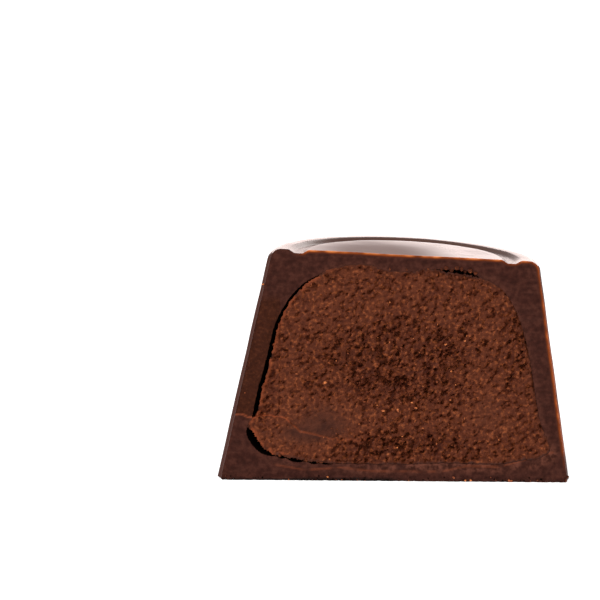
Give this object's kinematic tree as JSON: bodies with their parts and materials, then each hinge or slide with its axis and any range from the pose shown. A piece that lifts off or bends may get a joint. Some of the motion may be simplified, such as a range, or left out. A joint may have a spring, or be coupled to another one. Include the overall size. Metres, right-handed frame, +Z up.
{
  "type": "halved chocolate bonbon",
  "caption": "Half of a fluted, tapering moulded chocolate bonbon with a ringed flat top and a crumbly truffle filling that shows at the cut.",
  "frame": {"origin": "on the foot, at the middle of the bottom of the bonbon's box", "axes": "+X along the cut, towards the lower flank; +Y from the cut to the fluted back; +Z up"},
  "size_m": [0.0298, 0.015, 0.0198],
  "materials": {
    "moulded_chocolate": "satin moulded dark milk chocolate, glossy on its flat top, matte where it is cut",
    "truffle": "matte crumbly chocolate truffle, torn by the knife"
  },
  "bodies": {
    "root": {"shell": "moulded_chocolate", "filling": "truffle"}
  },
  "joints": []
}
